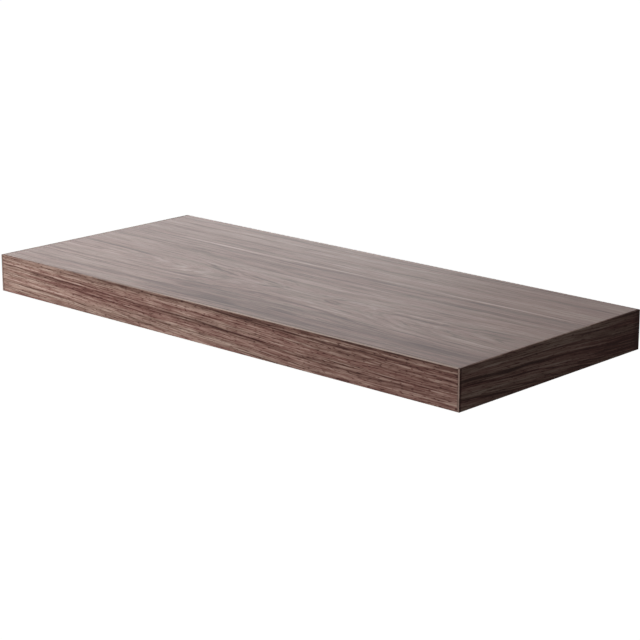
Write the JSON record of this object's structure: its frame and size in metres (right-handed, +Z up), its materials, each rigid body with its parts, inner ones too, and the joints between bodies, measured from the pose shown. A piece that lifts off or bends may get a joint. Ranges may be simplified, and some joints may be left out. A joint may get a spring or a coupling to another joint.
{
  "type": "floating wall shelf",
  "caption": "Thin walnut-veneered hollow board that slides over the rods of a concealed steel wall bracket and is locked from below.",
  "frame": {"origin": "middle of the bracket bar's back face, on the wall, at the board's mid-thickness", "axes": "+X along the shelf's length, to the right as seen from the front; +Y towards the wall; +Z up"},
  "size_m": [0.6, 0.26, 0.038],
  "materials": {
    "walnut_veneer": "satin lacquered walnut veneer, grain along the length",
    "walnut_edging": "satin lacquered walnut edge banding",
    "hardboard": "raw pressed fibreboard",
    "softwood": "planed softwood",
    "kraft_paper": "unbleached kraft paper honeycomb",
    "zinc_steel": "bright zinc plating",
    "black_steel": "black oxide",
    "brass": "turned brass"
  },
  "bodies": {
    "bracket": {"bracket_bar": "zinc_steel", "left_rod": "zinc_steel", "right_rod": "zinc_steel", "left_rod_screw": "zinc_steel", "right_rod_screw": "zinc_steel"},
    "board": {"top_veneer": "walnut_veneer", "bottom_veneer": "walnut_veneer", "front_band": "walnut_edging", "left_band": "walnut_edging", "right_band": "walnut_edging", "top_skin": "hardboard", "bottom_skin": "hardboard", "front_rail": "softwood", "left_end_rail": "softwood", "right_end_rail": "softwood", "rear_rail": "softwood", "left_rod_block": "softwood", "right_rod_block": "softwood", "left_core": "kraft_paper", "centre_core": "kraft_paper", "right_core": "kraft_paper", "left_insert": "brass", "right_insert": "brass"},
    "left_lock_screw": {"left_lock_screw": "black_steel"},
    "right_lock_screw": {"right_lock_screw": "black_steel"}
  },
  "joints": [
    {"name": "shelf_slide", "type": "slide", "parent": "bracket", "child": "board", "axis": [0, -1, 0], "range_m": [0, 0.201]},
    {"name": "left_lock", "type": "slide", "parent": "board", "child": "left_lock_screw", "axis": [0, 0, -1], "range_m": [0, 0.0025]},
    {"name": "right_lock", "type": "slide", "parent": "board", "child": "right_lock_screw", "axis": [0, 0, -1], "range_m": [0, 0.0025]}
  ]
}
